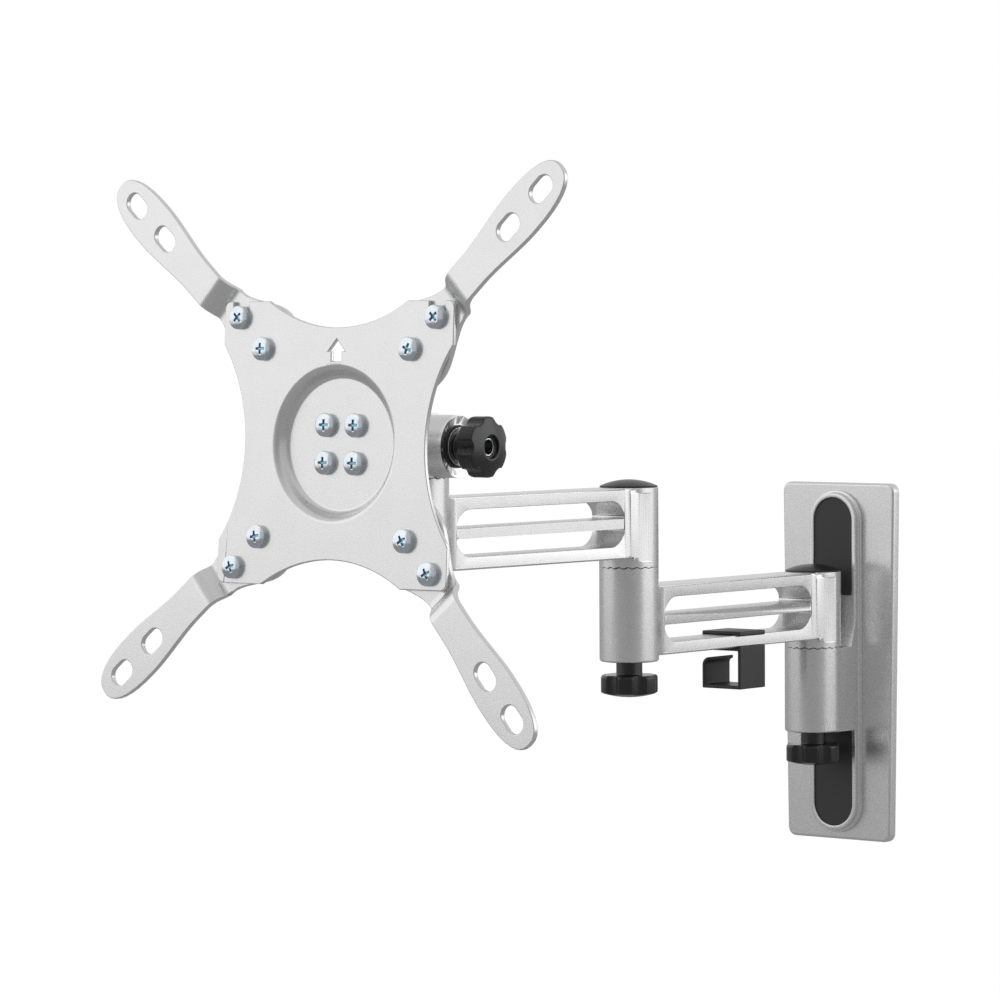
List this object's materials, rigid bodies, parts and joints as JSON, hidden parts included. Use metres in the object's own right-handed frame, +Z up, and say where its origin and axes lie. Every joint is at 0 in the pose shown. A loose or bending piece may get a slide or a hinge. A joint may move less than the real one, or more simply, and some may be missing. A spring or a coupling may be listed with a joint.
{
  "type": "full motion tv wall mount",
  "caption": "Two slotted arms fold on toothed swivels between a wall plate and a tilting television plate with four screw-on extenders.",
  "frame": {"origin": "middle of the wall plate's back face, where it meets the wall", "axes": "+Y into the wall, +Z up, +X to the right of a viewer who faces the wall"},
  "size_m": [0.2288, 0.3642, 0.2977],
  "materials": {
    "painted_casting": "silver paint with a fine metallic grain, satin",
    "painted_sheet": "pale silver paint, satin",
    "zinc_steel": "bright zinc plating",
    "polished_steel": "polished",
    "black_plastic": "satin black, moulded",
    "grey_plastic": "fine-grained dark grey, moulded",
    "nylon": "natural nylon",
    "brass_insert": "turned"
  },
  "bodies": {
    "wall_mount": {"wall_plate": "painted_sheet", "wall_bracket": "painted_casting", "bracket_screws": "zinc_steel", "upper_cover": "grey_plastic", "lower_cover": "grey_plastic", "wall_bush": "nylon", "wall_washer": "zinc_steel"},
    "lower_arm": {"lower_arm": "painted_casting", "wall_bolt": "zinc_steel", "wall_cap": "black_plastic", "elbow_bush": "nylon", "elbow_washer": "zinc_steel"},
    "wall_knob": {"wall_knob": "black_plastic", "wall_knob_insert": "brass_insert"},
    "upper_arm": {"upper_arm": "painted_casting", "elbow_bolt": "zinc_steel", "elbow_cap": "black_plastic", "head_bush": "nylon", "head_washer": "zinc_steel"},
    "elbow_knob": {"elbow_knob": "black_plastic", "elbow_knob_insert": "brass_insert"},
    "head": {"swivel_head": "painted_casting", "head_stud": "zinc_steel", "head_nut": "zinc_steel", "tilt_bolt": "zinc_steel", "tilt_cap": "black_plastic", "bevel_ring": "polished_steel", "tilt_seat": "black_plastic", "tilt_washer": "polished_steel"},
    "tilt_knob": {"tilt_knob": "black_plastic", "tilt_knob_insert": "zinc_steel"},
    "television_carrier": {"tilt_hub": "painted_casting", "friction_washers": "black_plastic", "centre_screws": "zinc_steel", "television_plate": "painted_sheet", "extender_upper_left": "painted_sheet", "extender_upper_right": "painted_sheet", "extender_lower_left": "painted_sheet", "extender_lower_right": "painted_sheet", "plate_screws": "zinc_steel", "plate_nuts": "zinc_steel"},
    "cable_clip": {"cable_clip": "black_plastic"}
  },
  "joints": [
    {"name": "wall_swivel", "type": "hinge", "parent": "wall_mount", "child": "lower_arm", "pos_m": [0, -0.0245, 0.0098], "axis": [0, 0, 1], "range_deg": [-90, 90]},
    {"name": "elbow_swivel", "type": "hinge", "parent": "lower_arm", "child": "upper_arm", "pos_m": [0, -0.1614, 0.0521], "axis": [0, 0, -1], "range_deg": [-181.3, 178.7]},
    {"name": "head_swivel", "type": "hinge", "parent": "upper_arm", "child": "head", "pos_m": [-0.00311, -0.29827, 0.0923], "axis": [0, 0, 1], "range_deg": [-92.6, 87.4]},
    {"name": "tilt", "type": "hinge", "parent": "head", "child": "television_carrier", "pos_m": [-0.00311, -0.29827, 0.1051], "axis": [-0.9997, -0.0227, 0], "range_deg": [-18.3, 11.7]},
    {"name": "wall_knob_turn", "type": "hinge", "parent": "lower_arm", "child": "wall_knob", "pos_m": [0, -0.0245, -0.038], "axis": [0, 0, 1], "continuous": true},
    {"name": "elbow_knob_turn", "type": "hinge", "parent": "upper_arm", "child": "elbow_knob", "pos_m": [0, -0.1614, 0.002], "axis": [0, 0, 1], "continuous": true},
    {"name": "tilt_knob_turn", "type": "hinge", "parent": "head", "child": "tilt_knob", "pos_m": [0.02689, -0.29758, 0.1051], "axis": [0.9997, 0.0227, 0], "continuous": true},
    {"name": "clip_slide", "type": "slide", "parent": "lower_arm", "child": "cable_clip", "axis": [0, -1, 0], "range_m": [-0.028, 0.039]}
  ]
}
